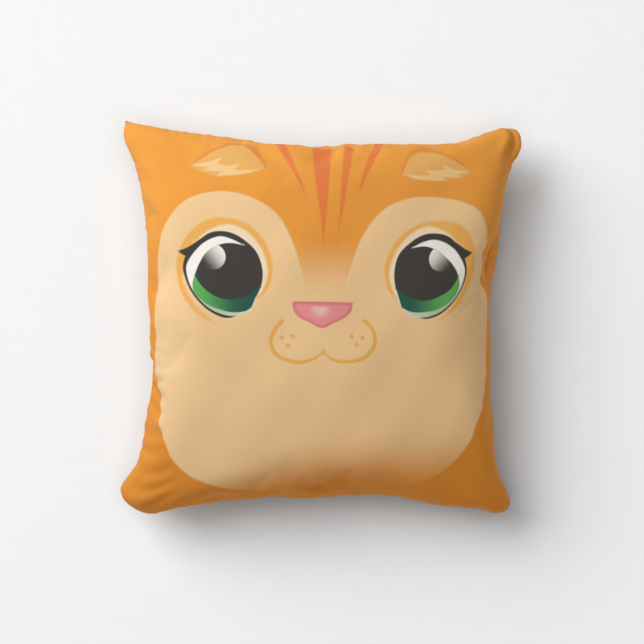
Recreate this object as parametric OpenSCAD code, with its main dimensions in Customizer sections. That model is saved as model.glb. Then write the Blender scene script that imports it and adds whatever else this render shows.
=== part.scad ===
// Square throw cushion: a printed cover with a hidden zip in its bottom seam,
// and a stuffed insert inside it. It lies on its back with the printed face up.
// X runs across the face, Y up the face towards the ears, Z up from the floor.

/* [Cover] */
// Width of the filled cover, corner to corner
cover_w = 398; // [370:1:430]
// Height of the filled cover, corner to corner
cover_h = 390; // [362:1:422]
// How far the middle of each side seam pulls in
side_pull = 29; // [20:1:36]
// How far the middle of the top seam pulls in
top_pull = 25; // [16:1:32]
// How far the middle of the bottom seam pulls in
bottom_pull = 20; // [14:1:24]
// Height of the seam above the floor
seam_z = 50; // [40:1:60]
// Height of the crown above the seam
front_rise = 62; // [50:1:75]
// How far the back would sag below the seam if no floor flattened it
back_rise = 54; // [51:1:70]
// Thickness of the cover cloth
cloth_t = 0.8; // [0.6:0.1:1.2]
// Width of the seam allowance turned inside
allowance = 10; // [8:1:12]

/* [Zip] */
// Length of the opening between the closed ends of the bottom seam
zip_open = 276; // [240:2:280]
// Half the gap between the two folded edges of the opening
zip_lip = 5; // [4.8:0.1:6]
// How far the teeth sit behind the fold at the middle of the seam
zip_inset = 3; // [2:0.5:5]
// Distance from one tooth to the next in a row
tooth_pitch = 3.2; // [3.2:0.1:4]
// Thickness of the woven zip tape
tape_t = 0.5; // [0.4:0.1:0.6]
// Length of the pull tab
pull_l = 22; // [16:1:22]

/* [Insert] */
// How far the insert's seam stays inside the cover's seam
insert_gap = 16; // [15:1:20]
// The same at the bottom seam, where the zip's folded edges take up room
insert_gap_bottom = 22; // [22:1:26]
// Thickness of the insert's casing
casing_t = 0.5; // [0.4:0.1:0.7]

/* [Threads] */
// Distance from one modelled stitch to the next
stitch_pitch = 12; // [9:1:20]
// Radius of the sewing thread
thread_r = 0.25; // [0.2:0.05:0.35]

/* [Hidden] */
$fn = 24;
print_orange = [0.93, 0.58, 0.22];
thread_orange = [0.85, 0.48, 0.14];
casing_white = [0.93, 0.93, 0.9];
nickel = [0.72, 0.72, 0.7];

// Cells along one side of a panel, the insert's casing and the fill
panel_cells = 32;
casing_cells = 24;
fill_cells = 20;
// Clearance between one layer and the next
slack = 0.3;
// Gap between an allowance and the cloth that it is folded from
fold_gap = 0.2;
// Length over which the folded edges close at each end of the zip opening
lip_ramp = 12.5;
// Distance from the seam's edge to its stitches
stitch_in = 3.5;
// Widths of the turned-in allowances at the zip and on the insert
zip_allowance = 20;
casing_allowance = 5;

// Each cushion shape is [half width, half height above, half height below,
// side pull, top pull, bottom pull, rise in front, rise behind, floor, lip]
cover = [cover_w / 2, cover_h / 2, cover_h / 2, side_pull, top_pull, bottom_pull,
         front_rise, back_rise, 0, zip_lip];
casing = [cover_w / 2 - insert_gap, cover_h / 2 - insert_gap,
          cover_h / 2 - insert_gap_bottom, side_pull, top_pull, bottom_pull,
          front_rise - 2.2, back_rise - 2.2, cloth_t + slack, 0];
filling = inside(casing, casing_allowance + 2, casing_t + 2 * slack);

// The same shape, moved in by a width w at its seams and a depth t at its faces
function inside(s, w, t) = [s[0] - w, s[1] - w, s[2] - w, s[3], s[4], s[5],
                            s[6] - 2 * t, s[7] - 2 * t, s[8] + t, s[9]];

// Plan position of the point (u, v) of a square cloth, each from -1 to 1. The seams
// pull in as parabolas, and the cloth near them turns down towards the seam.
function plan_x(s, u, v) = s[0] * u - s[3] * (1 - v * v) * u * pow(abs(u), 7);
function plan_y(s, u, v) = (v > 0 ? s[1] : s[2]) * v
    - (v > 0 ? s[4] : s[5]) * (1 - u * u) * v * pow(abs(v), 7);
// Share of the full rise at (u, v)
function crown(u, v) = pow(max(0, (1 - pow(u, 4)) * (1 - pow(v, 4))), 0.9);
// The folded edges part by this much at the zip opening, and only near the seam
function part_at(s, u, v) = s[9] * pow(max(0, -v), 10)
    * min(1, max(0, (zip_open / 2 + lip_ramp - abs(u) * cover_w / 2) / lip_ramp));
// A point of the upper (side = 1) or lower (side = -1) cloth, lifted off the seam
function cloth_point(s, side, lift, u, v) =
    let (x = plan_x(s, u, v), y = plan_y(s, u, v),
         rise = side > 0 ? s[6] : s[7],
         z = seam_z + side * (part_at(s, u, v) + lift + rise * crown(u, v)))
    neat([x, y, max(s[8], z)]);
// Points are kept to a thousandth of a millimetre, so that shared corners agree
function neat(p) = [for (c = p) round(1000 * c) / 1000];
function step_at(n, i) = 2 * i / n - 1;
function cloth_grid(s, side, lift, n) =
    [for (i = [0:n], j = [0:n]) cloth_point(s, side, lift, step_at(n, i), step_at(n, j))];
// The cells round the rim in order, from the bottom left corner
function rim_cell(n, k) = let (i = k % n, edge = floor((k % (4 * n)) / n))
    edge == 0 ? [i, 0] : edge == 1 ? [n, i] : edge == 2 ? [n - i, n] : [0, n - i];
function rim_index(n, k) = rim_cell(n, k)[0] * (n + 1) + rim_cell(n, k)[1];
// A ring of points on the seam plane, a width w inside the rim and a lift off it
function rim_ring(s, side, lift, w, w_bottom, n) = [for (k = [0:4 * n - 1])
    let (c = rim_cell(n, k), u = step_at(n, c[0]), v = step_at(n, c[1]),
         x = plan_x(s, u, v) * (1 - w / s[0]),
         y = plan_y(s, u, v) * (v > 0 ? 1 - w / s[1] : 1 - lerp(w, w_bottom, pow(-v, 6)) / s[2]))
    neat([x, y, seam_z + side * (part_at(s, u, v) + lift)])];
function lerp(a, b, t) = a + (b - a) * t;
function facing(side, f) = side > 0 ? f : [f[2], f[1], f[0]];
function quad(side, a, b, c, d) = [facing(side, [a, b, c]), facing(side, [a, c, d])];
// The faces of a grid of points. Each cell is split from its outer corner to its inner
// one, so that no triangle at a corner of the cloth lies flat in the seam's plane.
function cloth_faces(n, side, first) = [for (i = [0:n - 1], j = [0:n - 1])
    let (a = first + i * (n + 1) + j, b = a + n + 1, outward = (i < n / 2) == (j < n / 2))
    each outward ? quad(side, a, a + 1, b + 1, b) : quad(side, a + 1, b + 1, b, a)];

// One sewn cloth: the outer face, the fold at its rim, the allowance that turns in from
// the fold along the seam, and the inner face a thickness t inside the outer one
module sewn_cloth(s, side, t, w, w_bottom, n) {
    fold = 2 * t + fold_gap;
    outer = [s[0], s[1], s[2], s[3], s[4], s[5], s[6] - fold, s[7] - fold, s[8], s[9]];
    inner = [s[0] - t, s[1] - t, s[2] - t, s[3], s[4], s[5],
             s[6] - fold, s[7] - fold, s[8] + t, s[9]];
    grid = (n + 1) * (n + 1);
    ring = 4 * n;
    points = concat(
        cloth_grid(outer, side, fold, n), cloth_grid(inner, side, fold - t, n),
        rim_ring(s, side, 0, 0, 0, n), rim_ring(s, side, 0, w, w_bottom, n),
        rim_ring(s, side, t, w, w_bottom, n), rim_ring(s, side, t, t, t, n));
    strips = [for (k = [0:3]) 2 * grid + k * ring];
    faces = concat(
        cloth_faces(n, side, 0), cloth_faces(n, -side, grid),
        [for (k = [0:ring - 1]) let (m = (k + 1) % ring)
            each concat(
                quad(side, rim_index(n, k), rim_index(n, m), strips[0] + m, strips[0] + k),
                quad(side, strips[0] + k, strips[0] + m, strips[1] + m, strips[1] + k),
                quad(side, strips[1] + k, strips[1] + m, strips[2] + m, strips[2] + k),
                quad(side, strips[2] + k, strips[2] + m, strips[3] + m, strips[3] + k),
                quad(side, strips[3] + k, strips[3] + m,
                     grid + rim_index(n, m), grid + rim_index(n, k)))]);
    polyhedron(points, faces, 10);
}

// A closed solid of the same shape, with a narrow upright rim
module stuffing(s, half_rim, n) {
    grid = (n + 1) * (n + 1);
    ring = 4 * n;
    points = concat(cloth_grid(s, 1, half_rim, n), cloth_grid(s, -1, half_rim, n));
    faces = concat(
        cloth_faces(n, 1, 0), cloth_faces(n, -1, grid),
        [for (k = [0:ring - 1]) let (m = (k + 1) % ring)
            each quad(1, rim_index(n, k), rim_index(n, m),
                      grid + rim_index(n, m), grid + rim_index(n, k))]);
    polyhedron(points, faces, 10);
}

module pin(p, low, high) {
    translate([p[0], p[1], low]) cylinder(r = thread_r, h = high - low);
}

// ---- cover -------------------------------------------------------------------

module front_panel() {
    color(print_orange) sewn_cloth(cover, 1, cloth_t, allowance, zip_allowance, panel_cells);
}

module back_panel() {
    color(print_orange) sewn_cloth(cover, -1, cloth_t, allowance, zip_allowance, panel_cells);
}

// Thread wrapped over the raw edges of the two allowances, on the three closed sides
module overlock_edging() {
    n = panel_cells;
    steps = [for (k = [n + 1:4 * n - 1]) k];
    outer = rim_ring(cover, 1, 0, allowance, allowance, n);
    inner = rim_ring(cover, 1, 0, allowance + 1.2, allowance + 1.2, n);
    bead = cloth_t + 0.1;
    corners = [[0, -bead], [1, -bead], [1, bead], [0, bead]];
    points = [for (k = steps, c = corners)
        let (p = c[0] == 0 ? outer[k] : inner[k]) [p[0], p[1], seam_z + c[1]]];
    last = 4 * (len(steps) - 1);
    faces = concat(
        [for (m = [0:len(steps) - 2], c = [0:3])
            let (a = 4 * m + c, b = 4 * m + (c + 1) % 4)
            each quad(1, a, b, b + 4, a + 4)],
        quad(-1, 0, 1, 2, 3), quad(1, last, last + 1, last + 2, last + 3));
    color(thread_orange) polyhedron(points, faces, 10);
}

// A seam stitch crosses both allowances a little inside the rim
module rim_stitch(s, u, v, inset, t) {
    x = plan_x(s, u, v) * (1 - inset / s[0]);
    y = plan_y(s, u, v) * (1 - inset / (v > 0 ? s[1] : s[2]));
    pin([x, y], seam_z - t - thread_r, seam_z + t + thread_r);
}

module seam_stitches() {
    count = floor(cover_w / stitch_pitch) - 1;
    color(thread_orange) for (i = [1:count]) {
        t = 2 * i / (count + 1) - 1;
        rim_stitch(cover, -1, t, stitch_in, cloth_t);
        rim_stitch(cover, 1, t, stitch_in, cloth_t);
        rim_stitch(cover, t, 1, stitch_in, cloth_t);
    }
}

// The bottom seam is sewn shut from each corner to the zip opening
module closed_end_stitches() {
    first = zip_open / 2 + lip_ramp + 4;
    count = floor((cover_w / 2 - first - 6) / (stitch_pitch / 2));
    color(thread_orange) for (side = [-1, 1], i = [0:count])
        rim_stitch(cover, side * (first + i * stitch_pitch / 2) / (cover_w / 2), -1,
                   stitch_in, cloth_t);
}

// ---- zip -----------------------------------------------------------------------

// The teeth lie on one straight line behind the folded edges
zip_y = -(cover_h / 2 - bottom_pull - zip_inset);
tape_l = zip_open - 19;
tape_in = 10;
tape_edge = 1.6;
tooth_reach = 2.4;
head_r = 0.7;
tooth_half = 1.1;
closed_x = 118;
slide_l = 228;
slider_l = 13;
slider_half_w = 4.1;
channel_half = 1.5;
plate_t = 1.1;
arch_half = 3.6;
arch_w = 2;
arch_clear = 1.9;
bar_r = 0.65;
hinge_out = channel_half + plate_t + arch_clear / 2;
pull_half_w = 2.9;
pull_t = 1.2;
arm_gap = 0.4;

// An L of tape: a leaf that carries the teeth, and a leaf that lies on the allowance
module zip_tape(side) {
    color(thread_orange) translate([-tape_l / 2, zip_y, seam_z]) rotate([90, 0, 90])
        linear_extrude(tape_l) polygon([
            [-tape_t / 2, side * tape_edge], [tape_t / 2, side * tape_edge],
            [tape_t / 2, side * (zip_lip - tape_t)], [tape_in, side * (zip_lip - tape_t)],
            [tape_in, side * zip_lip], [-tape_t / 2, side * zip_lip]]);
}
module zip_tape_front() { zip_tape(1); }
module zip_tape_back() { zip_tape(-1); }

// A tooth: a neck clamped on the tape and a round head that reaches past the middle
module tooth(side) {
    neck = 0.55;
    rotate([90, 0, 0]) translate([0, 0, -tooth_half]) linear_extrude(2 * tooth_half) union() {
        translate([0, -side * 0.2]) circle(head_r);
        translate([-neck, side > 0 ? 0 : -tooth_reach]) square([2 * neck, tooth_reach]);
    }
}

module teeth(side) {
    first = closed_x - slide_l - 6.6 + (side > 0 ? 0 : tooth_pitch / 2);
    count = floor((closed_x + 2 - first) / tooth_pitch);
    color(thread_orange) for (i = [0:count])
        translate([first + i * tooth_pitch, zip_y, seam_z]) tooth(side);
}
module zip_teeth_front() { teeth(1); }
module zip_teeth_back() { teeth(-1); }

// One clamp on each tape, just past the closed slider
module zip_top_stops() {
    x = closed_x + slider_l / 2 + 0.7;
    color(nickel) for (side = [-1, 1])
        translate([x, zip_y - 1.3, seam_z + (side > 0 ? 1 : -3)]) cube([2, 2.6, 2]);
}

// One clamp across both tapes, where the zip ends
module zip_bottom_stop() {
    x = closed_x - slide_l - slider_l / 2 - 1;
    color(nickel) translate([x - 3, zip_y - 1.5, seam_z - 2.4]) cube([3, 3, 4.8]);
}

module zip_stitches(side) {
    count = floor((tape_l - 8) / stitch_pitch * 1.5);
    low = zip_lip - tape_t - thread_r;
    high = zip_lip + cloth_t + thread_r;
    color(thread_orange) for (i = [0:count]) {
        x = (i / count - 0.5) * (tape_l - 8);
        pin([x, zip_y + tape_in / 2], seam_z + (side > 0 ? low : -high),
            seam_z + (side > 0 ? high : -low));
    }
}
module zip_stitches_front() { zip_stitches(1); }
module zip_stitches_back() { zip_stitches(-1); }

// Close stitches hold the two folded edges together at each end of the opening
module zip_end_tacks() {
    color(thread_orange) for (side = [-1, 1], i = [0:3]) {
        x = zip_open / 2 + 2 + i * 2.2;
        half = zip_lip * (zip_open / 2 + lip_ramp - x) / lip_ramp + cloth_t + 0.8;
        pin([side * x, zip_y + 1.5], seam_z - half, seam_z + half);
    }
}

// Two plates joined by a wedge at the closing end, with lipped sides that hold the
// tapes in, and an arch outside for the pull. It is drawn with the teeth along X and
// the outside towards -Y.
module zip_slider() {
    lip_w = 0.8;
    slot_half = 0.6;
    wedge_l = 2.2;
    wedge_half = 1.2;
    outer = channel_half + plate_t;
    color(nickel) translate([closed_x, zip_y, seam_z]) {
        for (face = [-1, 1])
            translate([-slider_l / 2, face > 0 ? channel_half : -outer, -slider_half_w])
                cube([slider_l, plate_t, 2 * slider_half_w]);
        for (face = [-1, 1], edge = [-1, 1])
            translate([-slider_l / 2, face > 0 ? slot_half : -channel_half - 0.1,
                       edge > 0 ? slider_half_w - lip_w : -slider_half_w])
                cube([slider_l, channel_half - slot_half + 0.1, lip_w]);
        translate([slider_l / 2 - wedge_l - 0.2, -outer + 0.1, -wedge_half])
            cube([wedge_l, 2 * outer - 0.2, 2 * wedge_half]);
        slider_arch(outer);
    }
}

module slider_arch(outer) {
    leg = 1;
    top = 0.9;
    translate([0, 0, -arch_w / 2]) linear_extrude(arch_w) difference() {
        translate([-arch_half, -outer - arch_clear - top])
            square([2 * arch_half, arch_clear + top + 0.1]);
        translate([-arch_half + leg, -outer - arch_clear])
            square([2 * (arch_half - leg), arch_clear]);
    }
}

// A flat tab with a cross bar through the slider's arch and a hole for a fingertip
module zip_pull() {
    window = arch_half + 1.1;
    hole_r = 1.3;
    arm_in = arch_w / 2 + arm_gap;
    color(nickel) translate([closed_x, zip_y - hinge_out, seam_z]) {
        translate([0, 0, -pull_half_w]) cylinder(r = bar_r, h = 2 * pull_half_w);
        difference() {
            union() {
                translate([-pull_l + pull_half_w, -pull_t / 2, -pull_half_w])
                    cube([pull_l - pull_half_w, pull_t, 2 * pull_half_w]);
                translate([-pull_l + pull_half_w, pull_t / 2, 0]) rotate([90, 0, 0])
                    cylinder(r = pull_half_w, h = pull_t);
            }
            translate([-window, -pull_t, -arm_in]) cube([window + 1, 2 * pull_t, 2 * arm_in]);
            translate([-pull_l + pull_half_w + 0.6, pull_t, 0]) rotate([90, 0, 0])
                cylinder(r = hole_r, h = 2 * pull_t);
        }
    }
}

// ---- insert ----------------------------------------------------------------------

module insert_front() {
    color(casing_white)
        sewn_cloth(casing, 1, casing_t, casing_allowance, casing_allowance, casing_cells);
}

module insert_back() {
    color(casing_white)
        sewn_cloth(casing, -1, casing_t, casing_allowance, casing_allowance, casing_cells);
}

// The casing was filled through the middle third of its bottom seam
closing_share = 1 / 3;

module insert_seam_stitches() {
    count = floor(2 * casing[0] / stitch_pitch) - 1;
    color("white") for (i = [1:count]) {
        t = 2 * i / (count + 1) - 1;
        rim_stitch(casing, -1, t, 3, casing_t);
        rim_stitch(casing, 1, t, 3, casing_t);
        rim_stitch(casing, t, 1, 3, casing_t);
        if (abs(t) > closing_share) rim_stitch(casing, t, -1, 3, casing_t);
    }
}

module insert_closing_stitches() {
    count = 16;
    color("white") for (i = [0:count])
        rim_stitch(casing, (2 * i / count - 1) * (closing_share - 0.02), -1, 1.2, casing_t);
}

module fibre_fill() {
    color("white") stuffing(filling, 1, fill_cells);
}

front_panel();
back_panel();
overlock_edging();
seam_stitches();
closed_end_stitches();
zip_tape_front();
zip_tape_back();
zip_teeth_front();
zip_teeth_back();
zip_top_stops();
zip_bottom_stop();
zip_stitches_front();
zip_stitches_back();
zip_end_tacks();
zip_slider();
zip_pull();
insert_front();
insert_back();
insert_seam_stitches();
insert_closing_stitches();
fibre_fill();
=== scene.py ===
"""A square throw cushion with a printed cat face, lying on its back.

The cover is two flat square panels sewn along their edges and blown up by cloth
simulation. Inside it is a stuffed insert, and its bottom seam has a zip.
All lengths are in millimetres until a mesh is made, which is in metres.
"""
import math

import bpy
import numpy as np
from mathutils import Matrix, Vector


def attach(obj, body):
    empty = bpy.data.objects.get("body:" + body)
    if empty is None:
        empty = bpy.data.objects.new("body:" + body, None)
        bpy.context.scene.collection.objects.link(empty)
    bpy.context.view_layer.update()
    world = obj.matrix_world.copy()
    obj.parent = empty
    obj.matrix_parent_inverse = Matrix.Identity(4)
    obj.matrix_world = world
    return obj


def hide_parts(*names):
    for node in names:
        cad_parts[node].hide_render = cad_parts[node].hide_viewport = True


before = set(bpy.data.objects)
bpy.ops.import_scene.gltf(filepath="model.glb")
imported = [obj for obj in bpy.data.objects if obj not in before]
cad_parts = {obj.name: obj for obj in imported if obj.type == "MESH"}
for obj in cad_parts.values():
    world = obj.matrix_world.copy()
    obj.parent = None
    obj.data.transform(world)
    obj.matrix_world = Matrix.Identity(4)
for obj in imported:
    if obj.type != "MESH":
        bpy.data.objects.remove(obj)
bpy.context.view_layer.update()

MM = 0.001
FLAT = 406.0          # side of a panel before it is filled
SIM_CELLS = 80        # cells along a panel's side in the simulation
FINE = 3              # fine cells for each simulated one
CLOTH_T = 0.8         # thickness of the cover cloth
SEAM_Z = 50.0         # height of the seam above the floor


# ---- small numpy tools ---------------------------------------------------------

def smooth(x, low, high):
    """0 below low, 1 above high, and a smooth S between them."""
    t = np.clip((x - low) / (high - low), 0, 1)
    return t * t * (3 - 2 * t)


def spline(knots, t):
    """A smooth curve through the knots [(t, x, y, ...)], read at the values t: a cubic
    between two knots, whose slope at each knot is that of its two neighbours."""
    k = np.asarray(knots, float)
    s, p = k[:, 0], k[:, 1:]
    slope = np.gradient(p, s, axis=0)
    i = np.clip(np.searchsorted(s, t, side="right") - 1, 0, len(s) - 2)
    h = (s[i + 1] - s[i])[:, None]
    w = ((t - s[i])[:, None]) / h
    return ((2 * w**3 - 3 * w**2 + 1) * p[i] + (w**3 - 2 * w**2 + w) * h * slope[i]
            + (3 * w**2 - 2 * w**3) * p[i + 1] + (w**3 - w**2) * h * slope[i + 1])


def finer(grid, times):
    """The same grid with each cell cut into times by times, on cubic curves."""
    n = grid.shape[0] - 1
    t = np.linspace(0, n, n * times + 1)
    for axis in (0, 1):
        rows = np.moveaxis(grid, axis, 0)
        knots = np.column_stack([np.arange(n + 1.0), rows.reshape(n + 1, -1)])
        grid = np.moveaxis(spline(knots, t).reshape((len(t),) + rows.shape[1:]), 0, axis)
    return grid


def normals(grid):
    """Unit normals of a grid of points, from the cross product of its two tangents."""
    n = np.cross(np.gradient(grid, axis=0), np.gradient(grid, axis=1))
    return n / np.maximum(np.linalg.norm(n, axis=-1, keepdims=True), 1e-9)


def grid_quads(index):
    """Four corners for each cell of an array of point numbers."""
    return np.stack([index[:-1, :-1], index[1:, :-1], index[1:, 1:], index[:-1, 1:]],
                    -1).reshape(-1, 4)


def rim_of(index):
    """The border of a square array, once round, anticlockwise from its first corner."""
    return np.concatenate([index[:-1, 0], index[-1, :-1], index[:0:-1, -1], index[0, :0:-1]])


def strip_quads(a, b):
    """Quads between two closed rings of point numbers, wound from a to b."""
    return np.stack([a, np.roll(a, -1), np.roll(b, -1), b], -1)


def mesh_object(name, points, faces, body, uv=None, layers=None, smooth_faces=True):
    """A mesh object from points in millimetres, riding on a CAD body. uv is one pair for
    each point, and layers are named numbers for each point."""
    mesh = bpy.data.meshes.new(name)
    mesh.from_pydata((np.asarray(points) * MM).tolist(), [], [list(f) for f in faces])
    mesh.polygons.foreach_set("use_smooth", [smooth_faces] * len(mesh.polygons))
    if uv is not None:
        corner = np.empty(len(mesh.loops), np.int32)
        mesh.loops.foreach_get("vertex_index", corner)
        layer = mesh.uv_layers.new(name="panel")
        layer.data.foreach_set("uv", np.asarray(uv, np.float32)[corner].ravel())
    for key, values in (layers or {}).items():
        made = mesh.attributes.new(key, "FLOAT", "POINT")
        made.data.foreach_set("value", np.asarray(values, np.float32).ravel())
    mesh.update()
    piece = bpy.data.objects.new(name, mesh)
    bpy.context.scene.collection.objects.link(piece)
    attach(piece, body)
    return piece


# ---- the filled cover ------------------------------------------------------------

def flat_panels(cells):
    """Two square panels that share their rim, the upper one bowed a little up and the
    lower one a little down. Gives the points, the quads and each panel's numbering."""
    t = np.linspace(-1, 1, cells + 1)
    u, v = np.meshgrid(t, t, indexing="ij")
    bow = 6 * (1 - u**2) * (1 - v**2)
    upper = np.stack([u * FLAT / 2, v * FLAT / 2, bow], -1).reshape(-1, 3)
    top = np.arange((cells + 1) ** 2).reshape(cells + 1, cells + 1)
    below = top.copy()
    below[1:-1, 1:-1] = top.size + np.arange((cells - 1) ** 2).reshape(cells - 1, -1)
    lower = upper[top[1:-1, 1:-1].ravel()] * [1, 1, -1]
    quads = np.vstack([grid_quads(top), grid_quads(below.T)])
    return np.vstack([upper, lower]), quads, top, below


def blown_up(cells, frames=40):
    """The panels filled by cloth simulation: pressure inside, no gravity."""
    points, quads, top, below = flat_panels(cells)
    mesh = bpy.data.meshes.new("sewn_panels")
    mesh.from_pydata((points * MM).tolist(), [], quads.tolist())
    sewn = bpy.data.objects.new("sewn_panels", mesh)
    scene = bpy.context.scene
    scene.collection.objects.link(sewn)
    cloth = sewn.modifiers.new("cloth", "CLOTH")
    s = cloth.settings
    s.quality = 6
    s.mass = 0.15
    s.tension_stiffness = s.compression_stiffness = 15
    s.shear_stiffness = 6
    s.bending_stiffness = 0.5
    s.tension_damping = s.compression_damping = s.shear_damping = s.air_damping = 5
    s.use_pressure = True
    s.uniform_pressure_force = 4
    s.effector_weights.gravity = 0
    cloth.collision_settings.use_collision = False
    cloth.point_cache.frame_start = 1
    cloth.point_cache.frame_end = frames
    for f in range(1, frames + 1):
        scene.frame_set(f)
    settled = sewn.evaluated_get(bpy.context.evaluated_depsgraph_get()).to_mesh()
    filled = np.empty(len(settled.vertices) * 3, np.float32)
    settled.vertices.foreach_get("co", filled)
    filled = filled.reshape(-1, 3).astype(float) / MM
    scene.frame_set(1)
    bpy.data.objects.remove(sewn)
    bpy.data.meshes.remove(mesh)
    return filled[top], filled[below]


def calmed(panel, rounds=14):
    """A panel whose heights are each moved half the way to the mean of the four
    neighbours, some rounds over, so that only the broad crown and dips are left."""
    out = panel.copy()
    for _ in range(rounds):
        z = out[..., 2]
        mean = (z[:-2, 1:-1] + z[2:, 1:-1] + z[1:-1, :-2] + z[1:-1, 2:]) / 4
        out[1:-1, 1:-1, 2] = (z[1:-1, 1:-1] + mean) / 2
    return out


# Each side of the filled cover as seen from above, through the points that its shape
# needs: share of the way along the side, x, y, and height of the seam.
BOTTOM = [(-1.0, -190, -186, 38), (-0.86, -168, -195, 40), (-0.68, -136, -187, 46),
          (-0.4, -80, -179, 49), (0.0, 4, -174, 50), (0.4, 84, -177, 49),
          (0.56, 112, -184, 48), (0.8, 158, -190, 45), (0.93, 176, -194, 42),
          (1.0, 185, -190, 41)]
RIGHT = [(-1.0, 185, -190, 41), (-0.93, 187, -182, 42), (-0.8, 176, -156, 46),
         (-0.5, 169, -98, 49), (0.0, 163, -5, 50), (0.3, 167, 52, 50), (0.5, 176, 96, 50),
         (0.66, 182, 130, 50), (0.78, 190, 152, 50), (0.9, 198, 173, 52),
         (1.0, 194, 186, 54)]
TOP = [(-1.0, -195, 195, 52), (-0.8, -159, 188, 50), (-0.5, -102, 179, 50),
       (0.0, 4, 167, 50), (0.4, 82, 164, 50), (0.66, 134, 172, 50), (0.8, 160, 182, 51),
       (0.88, 176, 187, 52), (1.0, 194, 186, 54)]
LEFT = [(-1.0, -190, -186, 38), (-0.88, -199, -171, 40), (-0.74, -183, -146, 46),
        (-0.5, -173, -99, 49), (-0.1, -164, -20, 50), (0.2, -165, 40, 50),
        (0.55, -176, 110, 50), (0.8, -187, 158, 50), (0.92, -195, 180, 51),
        (1.0, -195, 195, 52)]


def low_curve(t, values, degree=7):
    """The smooth part of a rim: the best polynomial of that degree along it."""
    return np.stack([np.polynomial.Polynomial.fit(t, column, degree)(t)
                     for column in values.T], -1)


def shaped(panel):
    """Moves a filled panel so that its sides follow BOTTOM, RIGHT, TOP and LEFT. Each
    side's move fades over the panel, and the four are joined as a Coons patch, so that
    the rim keeps only the small waves of the simulation. What no side reaches is lifted
    from the middle plane to the height of the seam."""
    t = np.linspace(-1, 1, panel.shape[0])
    bottom, right, top, left = [
        spline(knots, t) - low_curve(t, rim)
        for rim, knots in ((panel[:, 0], BOTTOM), (panel[-1], RIGHT),
                           (panel[:, -1], TOP), (panel[0], LEFT))]
    end = smooth(t, -0.35, 1)
    start = end[::-1]
    along_u = start[:, None, None] * left[None] + end[:, None, None] * right[None]
    along_v = start[None, :, None] * bottom[:, None] + end[None, :, None] * top[:, None]
    corners = (start[:, None, None] * (start[:, None] * bottom[0] + end[:, None] * top[0])
               + end[:, None, None] * (start[:, None] * bottom[-1] + end[:, None] * top[-1]))
    free = (1 - start - end)[:, None] * (1 - start - end)[None]
    return panel + along_u + along_v - corners + free[..., None] * [0, 0, SEAM_Z]


ZIP_HALF = 138.0      # half the length of the zip's opening
LIP = 5.0             # how far each folded edge of the opening stands off the teeth
LIP_RAMP = 12.5       # length over which the opening closes at each end


def rim_distance(n):
    """Flat distance in mm of each grid point from the nearest side of its panel."""
    t = np.abs(np.linspace(-1, 1, n))
    return (1 - np.maximum(t[:, None], t[None])) * FLAT / 2


def bumps(flat_u, flat_v):
    """Unevenness of stuffing under cloth: four slow waves of different directions."""
    total = 0
    for size, along, across, shift in ((0.7, 0.046, 0.021, 0.4), (0.6, -0.028, 0.052, 2.1),
                                       (0.35, 0.09, -0.061, 4.0), (0.3, 0.071, 0.102, 1.2)):
        total = total + size * np.sin(along * flat_u + across * flat_v + shift)
    return total


def fold(flat_u, flat_v, start, end, width, depth):
    """A fold in the cloth along a line: a bell across it, and a hump along it. A
    negative depth is a crease that sinks in, with two low shoulders beside it."""
    (x0, y0), (x1, y1) = start, end
    length = math.hypot(x1 - x0, y1 - y0)
    along = ((flat_u - x0) * (x1 - x0) + (flat_v - y0) * (y1 - y0)) / length**2
    off = ((flat_v - y0) * (x1 - x0) - (flat_u - x0) * (y1 - y0)) / length / width
    hump = smooth(along, -0.15, 0.3) * (1 - smooth(along, 0.6, 1.15))
    return depth * hump * (np.exp(-off**2) - 0.35 * np.exp(-(np.abs(off) - 1.9) ** 2))


# Folds of the printed side: start, end, width and height, in mm on the flat panel
FRONT_FOLDS = [((-22, -160), (6, -190), 5, -2.4), ((-42, -162), (-40, -182), 5, -1.3),
               ((30, -170), (22, -194), 6, -1.0), ((-186, -150), (-146, -140), 6, -1.6),
               ((-192, -166), (-140, -156), 6, -1.8), ((-170, -186), (-130, -166), 6, -1.4),
               ((-198, -92), (-164, -88), 5, -1.1), ((-198, -112), (-160, -106), 5, -1.2),
               ((-198, -130), (-162, -122), 5, -1.0), ((180, -186), (150, -158), 6, -1.4),
               ((190, 200), (182, 152), 5, -3.6), ((199, 180), (192, 160), 5, 1.6),
               ((180, 192), (162, 170), 7, -0.8), ((-188, 184), (-146, 138), 9, -1.0),
               ((-196, 150), (-160, 120), 8, -0.8), ((-150, 196), (-124, 160), 8, -0.8),
               ((200, 10), (170, 6), 7, -0.5), ((-60, 200), (-54, 164), 9, -0.7),
               ((40, 200), (38, 168), 10, -0.7), ((112, 200), (98, 170), 9, -0.8)]
BACK_FOLDS = [((-180, -176), (-124, -124), 8, -2.2), ((178, -182), (126, -126), 8, -2.2),
              ((184, 184), (128, 130), 9, -2.4), ((-186, 182), (-134, 134), 8, -2.0),
              ((-200, 40), (-156, 34), 7, -1.2), ((200, -30), (158, -24), 7, -1.2),
              ((20, 200), (16, 160), 8, -1.1), ((-90, 200), (-80, 162), 7, -1.0)]


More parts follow.
